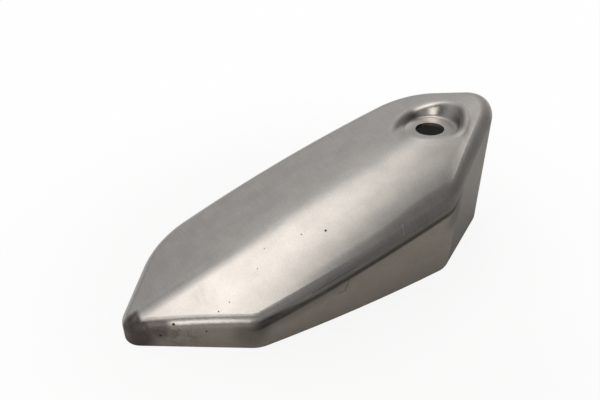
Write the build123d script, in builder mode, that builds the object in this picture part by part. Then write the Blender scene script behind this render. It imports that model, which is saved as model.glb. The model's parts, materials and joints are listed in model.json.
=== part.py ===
"""Exhaust heat shield: one stainless sheet pressed into a wedge-shaped cover, open underneath."""
import os
from math import cos, radians, sin, tan

from build123d import *

# Sheet and pressing
sheet = 1.0                 # thickness of the sheet
wall_draft = 1.7            # lean of the side walls, degrees
edge_radius = 4.4           # outside radius where the roof turns into a wall

# Plan of the rim: along the spine between the tips, and across from the spine
length = 136.7              # from tip to tip, before the tips are rounded
near_width = 20.65          # spine to the near side, at its corners
far_width = 27.5            # spine to the far side, at its corners
near_bow = 0.95             # how far the near side bulges outwards
far_bow = 2.4               # how far the far side bulges outwards
near_low_corner = 35.3      # low tip to the corner of the near side
near_tall_corner = 35.0     # tall tip to the corner of the near side
far_low_corner = 21.6       # low tip to the corner of the far side
far_tall_corner = 19.2      # tall tip to the corner of the far side
low_tip_radius = 5.6
tall_tip_radius = 11.3
near_corner_radius = 9.6
far_corner_radius = 25.0

# Roof: a crowned spine with a steep facet on the near side and a flat one on the far side
low_height = 6.7            # spine above the rim at the low tip
low_rise = 19.8             # climb of the spine at the low tip, degrees
spine_radius = 1240.0       # crown of the spine along its length
near_slope_low = 17.9       # fall of the near facet beside the spine, degrees
near_slope_tall = 29.0
near_droop_low = 0.0        # how far the near facet bends down towards its edge
near_droop_tall = 4.9
far_slope_low = 7.7         # fall of the far facet, degrees
far_slope_tall = 9.5
fold_low = 2.3              # half the width of the soft fold along the spine
fold_tall = 9.3

# Bolt seat: a flat disc sunk into the roof near the tall tip by a round punch
bolt_hole_diameter = 9.0
seat_setback = 28.55        # tall tip to the middle of the seat
seat_across = 2.95          # spine to the middle of the seat, on the far side
seat_depth = 2.1            # middle of the seat below the roof
seat_lean = 6.8             # lean of the bolt axis towards the far side, degrees
punch_radius = 8.6          # flat end of the punch, up to its wall
punch_draft = 24.0          # lean of the punch's wall, degrees
punch_round = 1.5           # reach of the curve between the flat end and the wall
punch_height = 6.0
dimple_round = 2.5          # outside radius of the dimple's edge

# Working values of the model
margin = 6.0                # room left round the form by the profiles that trim it
roof_share = 0.5            # least upward share of the direction in which a roof face looks
curve_degree = 3            # smoothness of the roof and punch curves


def between(low, tall, along):
    """A size that changes evenly from the low tip to the tall tip."""
    return low + (tall - low) * along / length


def spine_height(along):
    """Height of the spine above the rim, before it is folded softly."""
    return low_height + along * tan(radians(low_rise)) - along**2 / (2 * spine_radius)


def smooth_curve(controls):
    """One smooth edge led by its control points."""
    spans = len(controls) - curve_degree
    knots = [0] * curve_degree + list(range(spans + 1)) + [spans] * curve_degree
    return BSpline(controls, knots, degree=curve_degree)


def rim_plan():
    """Outline of the rim: two tips on the spine, and a bowed side on each hand."""
    low_tip = Vector(0, 0)
    tall_tip = Vector(length, 0)
    near_low = Vector(near_low_corner, -near_width)
    near_tall = Vector(length - near_tall_corner, -near_width)
    near_middle = (near_low + near_tall) / 2 - Vector(0, near_bow)
    far_low = Vector(far_low_corner, far_width)
    far_tall = Vector(length - far_tall_corner, far_width)
    far_middle = (far_low + far_tall) / 2 + Vector(0, far_bow)
    with BuildSketch() as plan:
        with BuildLine():
            Line(low_tip, near_low)
            ThreePointArc(near_low, near_middle, near_tall)
            Line(near_tall, tall_tip)
            Line(tall_tip, far_tall)
            ThreePointArc(far_tall, far_middle, far_low)
            Line(far_low, low_tip)
        make_face()
        fillet(plan.vertices().filter_by(lambda corner: corner.Y < -near_width / 2), near_corner_radius)
        fillet(plan.vertices().filter_by(lambda corner: corner.Y > far_width / 2), far_corner_radius)
        fillet(plan.vertices().sort_by(Axis.X)[0], low_tip_radius)
        fillet(plan.vertices().sort_by(Axis.X)[-1], tall_tip_radius)
    return plan.sketch


def roof_section(along):
    """Cross-section under the roof: two facets joined by a soft fold, as one smooth curve."""
    near_slope = radians(between(near_slope_low, near_slope_tall, along))
    far_slope = radians(between(far_slope_low, far_slope_tall, along))
    near_droop = between(near_droop_low, near_droop_tall, along)
    fold = between(fold_low, fold_tall, along)
    near = Vector(-cos(near_slope), -sin(near_slope))
    far = Vector(cos(far_slope), -sin(far_slope))
    near_reach = near_width + near_bow + margin
    far_reach = far_width + far_bow + margin
    ridge = Vector(0, spine_height(along))
    near_edge = ridge + near * near_reach - Vector(0, near_droop)
    far_edge = ridge + far * far_reach
    floor = -near_reach
    with BuildSketch(Plane(origin=(along, 0, 0), x_dir=(0, 1, 0), z_dir=(1, 0, 0))) as section:
        with BuildLine():
            smooth_curve([
                near_edge,
                ridge + near * (near_reach + fold) / 2,
                ridge + near * fold,
                ridge,
                ridge + far * fold,
                ridge + far * (far_reach + fold) / 2,
                far_edge,
            ])
            Polyline(far_edge, (far_edge.X, floor), (near_edge.X, floor), near_edge)
        make_face()
    return section.sketch


def punch_profile(seat_plane):
    """Half of the punch, cut along the bolt axis: flat end, curve and leaning wall."""
    wall = Vector(sin(radians(punch_draft)), cos(radians(punch_draft)))
    corner = Vector(punch_radius, 0)
    start = Vector(bolt_hole_diameter / 4, 0)
    top = corner + wall * punch_height
    upright = Plane(seat_plane.origin, seat_plane.x_dir, seat_plane.x_dir.cross(seat_plane.z_dir))
    with BuildSketch(upright) as profile:
        with BuildLine():
            smooth_curve([
                start,
                (start + corner) / 2,
                corner - Vector(punch_round, 0),
                corner,
                corner + wall * punch_round,
                (corner + top) / 2,
                top,
            ])
            Polyline(top, (0, top.Y), (0, 0), start)
        make_face()
    return profile.sketch


def top_point(part, along, across):
    """The point of the roof straight above a point of the plan."""
    upright = Axis((along, across, 0), (0, 0, 1))
    return max((point for point, _ in part.find_intersection_points(upright)), key=lambda point: point.Z)


with BuildPart() as heat_shield:
    # The form as a solid: rim plan drawn up with draft, cut off by the roof, its edge rounded
    extrude(rim_plan(), amount=spine_height(length) + margin, taper=wall_draft)
    loft([roof_section(along) for along in (-margin, length / 2, length + margin)], mode=Mode.INTERSECT)
    roof = heat_shield.faces().filter_by(lambda face: face.normal_at().Z > roof_share)
    fillet(roof.edges(), edge_radius)

    # The sunk bolt seat, with a rolled edge
    roof_point = top_point(heat_shield.part, length - seat_setback, seat_across)
    bolt_way = Vector(0, sin(radians(seat_lean)), cos(radians(seat_lean)))
    seat_plane = Plane(roof_point - Vector(0, 0, seat_depth), x_dir=(1, 0, 0), z_dir=bolt_way)
    revolve(punch_profile(seat_plane), axis=Axis(seat_plane.origin, bolt_way), mode=Mode.SUBTRACT)
    rings = heat_shield.edges().filter_by(lambda edge: edge.is_closed)
    fillet(rings.sort_by(SortBy.LENGTH)[-1], dimple_round)

    # The sheet, open underneath, and the bolt hole
    rim_face = heat_shield.faces().sort_by(Axis.Z)[0]
    offset(amount=-sheet, openings=rim_face)
    with Locations(seat_plane):
        Hole(bolt_hole_diameter / 2, depth=2 * sheet)

# Origin under the middle of the part, on the floor that the rim stands on
box = heat_shield.part.bounding_box()
placed = Pos(-box.center().X, -box.center().Y, -box.min.Z) * heat_shield.part

os.makedirs("parts", exist_ok=True)
placed.label = "heat_shield"
export_step(placed, "parts/heat_shield.step")
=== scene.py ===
import json
from math import cos, radians

import bpy
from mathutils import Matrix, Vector

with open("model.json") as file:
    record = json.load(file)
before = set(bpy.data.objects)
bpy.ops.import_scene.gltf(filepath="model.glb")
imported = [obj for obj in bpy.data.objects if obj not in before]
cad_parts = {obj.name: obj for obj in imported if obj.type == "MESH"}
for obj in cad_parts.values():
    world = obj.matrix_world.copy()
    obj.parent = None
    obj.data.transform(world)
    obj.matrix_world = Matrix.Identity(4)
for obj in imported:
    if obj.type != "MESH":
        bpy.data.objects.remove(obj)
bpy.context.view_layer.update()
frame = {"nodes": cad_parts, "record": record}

# Camera: the photo's viewing angle, in metres
camera_place = Vector((-0.077522, -0.130995, 0.146745))
camera_target = Vector((0.010578, 0.028745, 0.0))
camera_lens = 38.21
camera_nearest = 0.01

# A band is a value's name, its start, its full end and at times two levels; a region is several bands

# Soft box overhead: its level, where 1 is white, its colour, and the directions that it fills
key_level = 2.15
key_colour = (1.0, 0.955, 0.89, 1.0)
key_region = [
    ("right", 0.36, -0.3),
    ("right", -0.66, -0.42),
    ("back", -0.46, -0.02),
    ("back", 0.78, -0.27),
    ("up", 0.0, 0.3),
]

# Grey studio all round: its level behind the part, and the share of it on the left and in front
back_level = 0.43
fill_colour = (1.0, 0.98, 0.965, 1.0)
left_share = 0.35
front_share = 0.29
fill_region = [("right", -0.9, 0.1, left_share, 1.0), ("back", -1.0, 0.61, front_share, 1.0)]

# Two paler areas of the studio, behind the part and in front of it
glow_level = 0.19
glow_region = [("back", 0.92, 0.7), ("back", -0.1, 0.3), ("right", 0.75, 0.3)]
front_glow_level = 0.25
front_glow_region = [("right", 0.15, -0.25), ("right", -0.5, -0.2), ("back", -0.55, -0.8)]

# Low lamp at the front on the left: its level, direction, and reach round that direction in degrees
low_lamp_level = 2.2
low_lamp_way = Vector((-0.71, -0.59, 0.39)).normalized()
low_lamp_reach = 19.0

# Floor, in metres: pale, and darker where the room on the camera's side starts
floor_reach = 40.0
floor_colour = (0.9, 0.9, 0.9, 1.0)
room_colour = (0.26, 0.25, 0.24, 1.0)
room_band = ("behind", -0.05, -0.09)

# How white the camera sees the floor, beside the part and away from it
floor_white_near = 0.88
floor_white = 0.985
floor_white_band = ("away", 0.02, 0.12, floor_white_near, floor_white)
floor_white_stretch = (0.9, 1.0, 1.0)

# How white the part mirrors the floor, beside the part and behind it
floor_mirrored_near = 0.05
floor_mirrored = 0.6
floor_mirrored_band = ("behind", 0.0, 0.4, floor_mirrored_near, floor_mirrored)

# Colours of the sheet, of what is on it, and of the painted shade and dark reflections on it
steel_colour = (0.61, 0.588, 0.568, 1.0)
# The walls are darker and browner than the roof: painted shade standing in for the shadowed floor they
# mirror, with some brownish dirt
wall_shade_and_dirt_colour = (0.335, 0.305, 0.272, 1.0)
inside_colour = (0.48, 0.445, 0.415, 1.0)
# Dark colour of the scuffs, of the painted dark reflection on the low tip and of the painted shade in the
# dimple
stain_and_shade_colour = (0.105, 0.088, 0.084, 1.0)
# Colour of the painted dark reflection and shade along the near side's rolled edge
dark_reflection_colour = (0.05, 0.045, 0.042, 1.0)
# Dark reddish colour of the patch beside the low tip
low_wall_patch_colour = (0.13, 0.085, 0.085, 1.0)
speck_colour = (0.02, 0.018, 0.017, 1.0)
scratch_colour = (0.86, 0.85, 0.84, 1.0)

# From here on places and sizes are in millimetres
millimetre = 0.001

# Walls and inside: facing is how far a face looks up, and outlook how far it looks away from the middle
wall_region = [("facing", 0.55, 0.12)]
inside_region = [("outlook", 2.0, -2.0), ("facing", 0.25, 0.1)]

# Noise on the sheet: waves in a millimetre along x, y and z, detail and roughness
noises = {
    "streaks": ((5.5, 0.16, 0.25), 2.0, 0.55),
    "grit": ((2.4, 2.4, 2.4), 3.0, 0.7),
    "mottle": ((0.12, 0.16, 0.16), 5.0, 0.65),
    "blot": ((0.35, 0.35, 0.35), 5.0, 0.65),
}

# Grain: the span of the noise that shows, and the darkest and brightest level that each noise gives
noise_span = (0.25, 0.75)
grain_levels = {
    "streaks": (0.955, 1.045),
    "grit": (0.93, 1.07),
    "mottle": (0.93, 1.06),
}

# Gloss: roughness of the bare sheet, what is added on the low tip's painted dark reflection, the dark
# reddish patch, the specks and the inside, and what is taken away on the seat's ring
bare_roughness = (0.29, 0.33)
rough_places_roughness = 0.2
ring_smoothing = 0.06

# Painted dark reflection on the low tip's rolled edge and past its roof, mottled: middle, radius, softness
# and strength of its spots
tip_spots = [
    ((-64.2, -4.0, 5.2), 12.0, 0.45, 1.0),
    ((-56.5, -9.5, 7.5), 6.0, 0.6, 0.8),
]
tip_faces = [("facing", 0.82, 0.72), ("x", -58.9, -60.2)]
tip_region = [("blot", 0.2, 0.55, 0.75, 1.0), ("y", -1.6, -3.6)]
tip_strength = 0.95

# Dark reddish patch on the wall beside the low tip: middle, radius and softness
low_wall_patch_spot = ((-51.5, -13.0, 6.5), 10.0, 0.9)
low_wall_patch_region = [("facing", 0.6, 0.3), ("blot", 0.44, 0.62)]
low_wall_patch_strength = 0.5

# Line of painted dark reflection under the near side's rolled edge: height at mid-length, climb, and rise
# at the low end
shade_line_height = 15.9
shade_line_climb = 0.234
shade_line_rise = ("x", -12.0, -32.0, 0.0, 1.2)

# Painted dark reflection and shade round that line: a dark line, a veil above it and a skirt under it
dark_line_strength = 0.88
dark_line_region = [
    ("above", -1.1, 0.1),
    ("below", 1.9, 0.7),
    ("y", -21.0, -23.0),
    ("x", -35.0, -30.0),
    ("blot", 0.25, 0.6, 0.8, 1.0),
]
veil_strength = 0.5
veil_region = [
    ("below", -4.0, -0.3),
    ("below", 1.6, 0.6),
    ("y", -19.0, -22.0),
    ("x", -20.0, 15.0),
]
skirt_strength = 0.38
skirt_region = [
    ("below", -0.5, 0.5),
    ("below", 5.5, 0.5),
    ("x", -36.0, -30.0),
    ("x", 6.0, -8.0),
    ("y", -21.0, -23.0),
]

# Painted shade on the walls: patches with their middle and radius, and the wall at the tall end
shade_patches = [((-33.5, -23.0, 6.0), 9.0), ((37.0, -22.0, 20.0), 8.0)]
shade_patch_softness = 0.9
shade_patch_level = 0.6
tall_end_region = [("x", 35.0, 41.0), ("y", 2.0, -6.0)]
tall_end_shade_level = 0.62

# Bolt seat: the axis of its hole, from which reach is measured, and a ring on the seat, lighter as a
# painted highlight and a little smoother
bolt_hole = next(mount for mount in frame["record"]["mounts"] if mount["name"] == "bolt_hole")
hole_middle = Vector(bolt_hole["pos_m"]) / millimetre
hole_way = Vector(bolt_hole["axis"])
ring_region = [("reach", 8.3, 7.6), ("facing", 0.8, 0.95), ("y", -1.0, 6.0)]
ring_highlight_level = 1.38

# Painted shade on the dimple's wall: strength and region of each stretch
seat_shade = [
    (0.8, [("x", 44.0, 41.0), ("y", 3.0, 6.5), ("reach", 7.0, 8.3), ("reach", 12.6, 10.0)]),
    (0.65, [("x", 45.5, 49.0), ("y", 2.0, -3.0), ("reach", 7.6, 9.4), ("reach", 12.8, 10.8)]),
]

# Specks seen on the sheet: place and radius
specks = [
    ((-4.1, -13.3, 23.9), 0.46),
    ((-10.6, -10.6, 23.1), 0.26),
    ((-21.6, -8.3, 20.6), 0.2),
    ((-25.8, -12.1, 17.8), 0.2),
    ((-40.1, -16.3, 11.6), 0.3),
    ((-36.5, -15.8, 13.0), 0.22),
    ((-52.1, -12.0, 8.6), 0.55),
    ((-44.6, -17.2, 6.7), 0.4),
    ((-56.0, -10.6, 4.6), 0.5),
]
speck_softness = 0.5
speck_strength = 0.9

# Bright scratches and dark scuffs: start, end and half the width
scratches = [
    ((16.5, -22.4, 24.6), (15.9, -24.4, 22.5), 0.26),
    ((17.6, -22.9, 24.3), (17.3, -24.0, 23.2), 0.16),
]
scratch_strength = 0.8
scuffs = [
    ((-2.6, -25.3, 14.6), (-4.3, -25.4, 10.2), 0.34),
    ((-4.3, -25.4, 10.2), (-6.5, -25.4, 10.0), 0.3),
    ((-15.7, -25.0, 13.1), (-1.5, -25.2, 16.6), 0.24),
    ((-14.9, -24.8, 13.9), (-0.5, -25.0, 17.6), 0.22),
]
scuff_strength = 0.6
stroke_core = 0.3             # share of a stroke's width that is full

# Faint smear on the roof: middle, radius and softness
smear_spot = ((-42.0, -10.5, 13.4), 5.5, 0.7)
smear_region = [("streaks", 0.4, 0.6)]
smear_level = 0.9

# Relief of the grain: height of each noise
grain_heights = {"streaks": 0.0015, "grit": 0.003}

# Relief of the form is measured across the roof's near edge, and outwards across the edge of the tall end
edge_shift = ("x", 28.0, 8.0, 0.0, 1.6)
outwards_way = (0.51, -0.86, 0.0)

# Relief of the form: height and region of each
form_heights = [
    # The roof's near edge bends down towards the tall end
    (-0.95, [("x", -34.0, 38.0), ("x", 42.0, 34.0), ("edge", -18.9, -25.2)]),
    # The near facet rises towards the low tip, which moves the fold over
    (0.55, [("x", 0.0, -50.0), ("y", -2.4, -7.0)]),
    # The fold is flatter at mid-length
    (-0.3, [("y", 6.0, -3.5), ("y", -12.0, -3.5), ("x", -45.0, -15.0), ("x", 36.0, 20.0)]),
    # The roof lifts a little at the near edge of the tall end
    (0.28, [("outwards", 32.6, 38.0), ("x", 33.0, 40.0), ("y", -4.0, -10.0)]),
    # The dimple is deeper on its far side
    (-0.6, [("reach", 13.0, 8.6), ("y", -3.0, 5.0)]),
]


def add(tree, kind, inputs=None, **settings):
    """One node of a tree, with its settings, and each input set or linked."""
    made = tree.nodes.new(kind)
    for name, value in settings.items():
        setattr(made, name, value)
    for key, value in (inputs or {}).items():
        if isinstance(value, bpy.types.NodeSocket):
            tree.links.new(value, made.inputs[key])
        else:
            made.inputs[key].default_value = value
    return made


def number(tree, operation, first, second):
    """A number worked out from two numbers."""
    return add(tree, "ShaderNodeMath", {0: first, 1: second}, operation=operation).outputs[0]


def vector(tree, operation, first, second):
    """A vector worked out from two vectors."""
    return add(tree, "ShaderNodeVectorMath", {0: first, 1: second}, operation=operation).outputs["Vector"]


def measure(tree, operation, first, second):
    """A number worked out from two vectors."""
    return add(tree, "ShaderNodeVectorMath", {0: first, 1: second}, operation=operation).outputs["Value"]


def scaled(tree, first, level):
    """A vector or a colour times a number."""
    inputs = {0: first, "Scale": level}
    return add(tree, "ShaderNodeVectorMath", inputs, operation="SCALE").outputs["Vector"]


def total(tree, values):
    """Several numbers added."""
    result = values[0]
    for value in values[1:]:
        result = number(tree, "ADD", result, value)
    return result


def product(tree, *values):
    """Several numbers multiplied."""
    result = values[0]
    for value in values[1:]:
        result = number(tree, "MULTIPLY", result, value)
    return result


def most(tree, values):
    """The largest of several numbers."""
    result = values[0]
    for value in values[1:]:
        result = number(tree, "MAXIMUM", result, value)
    return result


def ease(tree, value, start, end, low=0.0, high=1.0):
    """Goes softly from low to high while the value goes from start to end."""
    inputs = {"Value": value, 1: start, 2: end, 3: low, 4: high}
    return add(tree, "ShaderNodeMapRange", inputs, interpolation_type="SMOOTHSTEP").outputs[0]


def reached(tree, values, band):
    """How far a band is reached."""
    name, *levels = band
    return ease(tree, values[name], *levels)


def region(tree, values, bands):
    """How far all the bands of a region are reached."""
    return product(tree, *[reached(tree, values, band) for band in bands])


def blend(tree, share, first, second):
    """A colour between two colours."""
    inputs = {"Factor": share, "A": first, "B": second}
    return add(tree, "ShaderNodeMix", inputs, data_type="RGBA").outputs["Result"]


def covered(tree, colour, mask, strength, cover):
    """A colour covered by another where the mask is."""
    return blend(tree, product(tree, mask, strength), colour, cover)


def toned(tree, colour, mask, level):
    """A colour made lighter or darker where the mask is."""
    return scaled(tree, colour, ease(tree, mask, 0.0, 1.0, 1.0, level))


def noise(tree, place, waves, detail, roughness):
    """Soft noise, with its number of waves in a millimetre along each axis."""
    return add(tree, "ShaderNodeTexNoise", {
        "Vector": vector(tree, "MULTIPLY", place, waves),
        "Scale": 1.0,
        "Detail": detail,
        "Roughness": roughness,
    }).outputs["Fac"]


def spot(tree, place, middle, radius, softness):
    """A round patch: 1 in the middle, 0 outside its radius."""
    return ease(tree, measure(tree, "DISTANCE", place, middle), radius, radius * (1 - softness))


def stroke(tree, place, start, end, half_width):
    """A straight thin line between two points."""
    run = Vector(end) - Vector(start)
    offset = vector(tree, "SUBTRACT", place, start)
    along = number(tree, "DIVIDE", measure(tree, "DOT_PRODUCT", offset, run), run.length_squared)
    along = add(tree, "ShaderNodeClamp", {0: along}).outputs[0]
    nearest = scaled(tree, run, along)
    return ease(tree, measure(tree, "DISTANCE", offset, nearest), half_width, stroke_core * half_width)


def new_world():
    """Soft studio light: a soft box overhead, grey behind the part, and darker on the camera's side."""
    world = bpy.data.worlds.new("studio")
    world.use_nodes = True
    tree = world.node_tree
    tree.nodes.clear()
    way = add(tree, "ShaderNodeTexCoord").outputs["Generated"]
    right, back, up = add(tree, "ShaderNodeSeparateXYZ", {0: way}).outputs
    values = {"right": right, "back": back, "up": up}
    fill = total(tree, [
        product(tree, region(tree, values, fill_region), back_level),
        product(tree, region(tree, values, glow_region), glow_level),
        product(tree, region(tree, values, front_glow_region), front_glow_level),
    ])
    toward_lamp = measure(tree, "DOT_PRODUCT", way, low_lamp_way)
    key = total(tree, [
        product(tree, region(tree, values, key_region), key_level),
        ease(tree, toward_lamp, cos(radians(low_lamp_reach)), 1.0, 0.0, low_lamp_level),
    ])
    grey = add(tree, "ShaderNodeBackground", {"Color": fill_colour, "Strength": fill})
    warm = add(tree, "ShaderNodeBackground", {"Color": key_colour, "Strength": key})
    both = add(tree, "ShaderNodeAddShader", {0: grey.outputs[0], 1: warm.outputs[0]})
    add(tree, "ShaderNodeOutputWorld", {"Surface": both.outputs[0]})
    bpy.context.scene.world = world


def new_material(name):
    """An empty material, and the tree of its nodes."""
    material = bpy.data.materials.new(name)
    material.use_nodes = True
    material.node_tree.nodes.clear()
    return material, material.node_tree


def floor_material():
    """Plain pale floor, whiter away from the part so that the part's shadow stays on it."""
    material, tree = new_material("floor")
    place = add(tree, "ShaderNodeTexCoord").outputs["Object"]
    stretched = vector(tree, "MULTIPLY", place, floor_white_stretch)
    values = {
        "behind": add(tree, "ShaderNodeSeparateXYZ", {0: place}).outputs["Y"],
        "away": measure(tree, "DISTANCE", stretched, (0.0, 0.0, 0.0)),
    }
    rays = add(tree, "ShaderNodeLightPath").outputs
    mirrored = most(tree, [rays["Is Glossy Ray"], rays["Is Transmission Ray"]])
    share = total(tree, [
        product(tree, rays["Is Camera Ray"], reached(tree, values, floor_white_band)),
        product(tree, mirrored, reached(tree, values, floor_mirrored_band)),
    ])
    pale = blend(tree, reached(tree, values, room_band), floor_colour, room_colour)
    plain = add(tree, "ShaderNodeBsdfDiffuse", {"Color": pale})
    white = add(tree, "ShaderNodeEmission", {"Color": (1.0, 1.0, 1.0, 1.0), "Strength": 1.0})
    mixed = add(tree, "ShaderNodeMixShader", {0: share, 1: plain.outputs[0], 2: white.outputs[0]})
    add(tree, "ShaderNodeOutputMaterial", {"Surface": mixed.outputs[0]})
    return material


def new_floor():
    """One large flat square under the part."""
    mesh = bpy.data.meshes.new("floor")
    corners = [(-1, -1), (1, -1), (1, 1), (-1, 1)]
    mesh.from_pydata([(x * floor_reach, y * floor_reach, 0.0) for x, y in corners], [], [(0, 1, 2, 3)])
    mesh.materials.append(floor_material())
    floor = bpy.data.objects.new("floor", mesh)
    bpy.context.scene.collection.objects.link(floor)


def sheet_values(tree):
    """What the steel's regions are measured by: places, the way a face looks, and noise."""
    metres = add(tree, "ShaderNodeTexCoord").outputs["Object"]
    place = scaled(tree, metres, 1 / millimetre)
    x, y, z = add(tree, "ShaderNodeSeparateXYZ", {0: place}).outputs
    normal = add(tree, "ShaderNodeNewGeometry").outputs["Normal"]
    values = {"place": place, "x": x, "y": y}
    values["facing"] = add(tree, "ShaderNodeSeparateXYZ", {0: normal}).outputs["Z"]
    values["outlook"] = measure(tree, "DOT_PRODUCT", normal, place)
    for name, settings in noises.items():
        values[name] = noise(tree, place, *settings)

    # Distance under the line of painted dark reflection, and under the same line risen at the low end
    line = number(tree, "ADD", product(tree, x, shade_line_climb), shade_line_height)
    values["below"] = number(tree, "SUBTRACT", line, z)
    values["above"] = number(tree, "ADD", values["below"], reached(tree, values, shade_line_rise))

    # Distance from the bolt axis, and across the roof's edges
    offset = vector(tree, "SUBTRACT", place, hole_middle)
    nearest = scaled(tree, hole_way, measure(tree, "DOT_PRODUCT", offset, hole_way))
    values["reach"] = measure(tree, "DISTANCE", offset, nearest)
    values["edge"] = number(tree, "ADD", y, reached(tree, values, edge_shift))
    values["outwards"] = measure(tree, "DOT_PRODUCT", place, outwards_way)
    return values


def sheet_masks(tree, values):
    """Where the sheet is upright, turned inwards, darker at the low tip as painted dark reflection, darker
    in a reddish patch beside it, lighter on the seat's ring as a painted highlight, and specked.
    """
    place = values["place"]
    upright = region(tree, values, wall_region)
    inward = region(tree, values, inside_region)
    outward = number(tree, "SUBTRACT", 1.0, inward)
    tip = product(
        tree,
        most(tree, [product(tree, spot(tree, place, *shape), strength) for *shape, strength in tip_spots]),
        most(tree, [reached(tree, values, band) for band in tip_faces]),
        region(tree, values, tip_region),
        outward,
    )
    low_wall_patch = product(tree, spot(tree, place, *low_wall_patch_spot), region(tree, values, low_wall_patch_region), outward)
    dark = most(tree, [spot(tree, place, *speck, speck_softness) for speck in specks])
    return {
        "upright": upright,
        "inward": inward,
        "tip": tip,
        "low_wall_patch": low_wall_patch,
        "ring": region(tree, values, ring_region),
        "specks": product(tree, dark, outward),
    }


def bare_colour(tree, values, masks):
    """Bare sheet: a brighter roof, walls darker and browner as painted shade with some dirt, and a dull
    inside, with grain.
    """
    # Walls darker and browner: painted shade, with some brownish dirt
    colour = blend(tree, masks["upright"], steel_colour, wall_shade_and_dirt_colour)
    colour = blend(tree, masks["inward"], colour, inside_colour)
    for name, levels in grain_levels.items():
        colour = scaled(tree, colour, ease(tree, values[name], *noise_span, *levels))
    return colour


def painted_light_and_patches(tree, values, masks, colour):
    """Painted dark reflection at the low tip, a dark reddish patch beside it, painted dark reflection and
    shade along the near side, painted shade on the walls, and the bolt seat's painted highlight and
    painted shade.
    """
    # Painted dark reflection on the low tip
    colour = covered(tree, colour, masks["tip"], tip_strength, stain_and_shade_colour)
    colour = covered(tree, colour, masks["low_wall_patch"], low_wall_patch_strength, low_wall_patch_colour)
    # Painted dark reflection and shade along the near side's rolled edge
    colour = covered(tree, colour, region(tree, values, veil_region), veil_strength, dark_reflection_colour)
    colour = covered(tree, colour, region(tree, values, skirt_region), skirt_strength, dark_reflection_colour)
    colour = covered(tree, colour, region(tree, values, dark_line_region), dark_line_strength, dark_reflection_colour)
    # Painted shade on wall patches and on the wall at the tall end
    patches = most(tree, [spot(tree, values["place"], *patch, shade_patch_softness) for patch in shade_patches])
    colour = toned(tree, colour, product(tree, patches, masks["upright"]), shade_patch_level)
    tall_end = product(tree, region(tree, values, tall_end_region), masks["upright"])
    colour = toned(tree, colour, tall_end, tall_end_shade_level)
    # Painted highlight on the seat's ring
    colour = toned(tree, colour, masks["ring"], ring_highlight_level)
    # Painted shade on the dimple's wall
    stretches = [product(tree, region(tree, values, bands), strength) for strength, bands in seat_shade]
    return blend(tree, most(tree, stretches), colour, stain_and_shade_colour)


def marked_colour(tree, values, masks, colour):
    """Marks of use: a faint smear, dark scuffs, bright scratches and black specks."""
    place = values["place"]
    smear = product(tree, spot(tree, place, *smear_spot), region(tree, values, smear_region))
    scuffed = most(tree, [stroke(tree, place, *line) for line in scuffs])
    scratched = most(tree, [stroke(tree, place, *line) for line in scratches])
    colour = toned(tree, colour, smear, smear_level)
    colour = covered(tree, colour, scuffed, scuff_strength, stain_and_shade_colour)
    colour = covered(tree, colour, scratched, scratch_strength, scratch_colour)
    return covered(tree, colour, masks["specks"], speck_strength, speck_colour)


def sheet_roughness(tree, values, masks):
    """Rougher on the low tip's painted dark reflection, the dark reddish patch, the specks and the inside;
    smoother on the seat's ring.
    """
    rough_places = most(tree, [masks[name] for name in ("tip", "low_wall_patch", "specks", "inward")])
    return total(tree, [
        ease(tree, values["streaks"], *noise_span, *bare_roughness),
        product(tree, rough_places, rough_places_roughness),
        product(tree, masks["ring"], -ring_smoothing),
    ])


def sheet_relief(tree, values):
    """The normal of the sheet with the relief of its grain and form."""
    grain = [product(tree, values[name], height) for name, height in grain_heights.items()]
    form = [product(tree, region(tree, values, bands), height) for height, bands in form_heights]
    inputs = {"Strength": 1.0, "Distance": millimetre, "Height": total(tree, grain + form)}
    return add(tree, "ShaderNodeBump", inputs).outputs[0]


def steel_material():
    """Satin stainless sheet with grain, painted shade, painted dark reflections, a painted highlight, a
    dark reddish patch, specks, scuffs and scratches.
    """
    material, tree = new_material("stainless")
    values = sheet_values(tree)
    masks = sheet_masks(tree, values)
    colour = bare_colour(tree, values, masks)
    colour = painted_light_and_patches(tree, values, masks, colour)
    colour = marked_colour(tree, values, masks, colour)
    steel = add(tree, "ShaderNodeBsdfPrincipled", {
        "Base Color": colour,
        "Metallic": 1.0,
        "Roughness": sheet_roughness(tree, values, masks),
        "Normal": sheet_relief(tree, values),
    })
    add(tree, "ShaderNodeOutputMaterial", {"Surface": steel.outputs[0]})
    return material


def new_camera():
    """A camera at the photo's place, looking at the part."""
    camera = bpy.data.cameras.new("camera")
    camera.lens = camera_lens
    camera.clip_start = camera_nearest
    camera.clip_end = 2 * floor_reach
    holder = bpy.data.objects.new("camera", camera)
    holder.location = camera_place
    holder.rotation_euler = (camera_target - camera_place).to_track_quat("-Z", "Y").to_euler()
    bpy.context.scene.collection.objects.link(holder)
    bpy.context.scene.camera = holder


bpy.context.scene.view_settings.view_transform = "Standard"
new_world()
new_floor()
new_camera()
shield = frame["nodes"]["heat_shield"]
shield.data.materials[0] = steel_material()
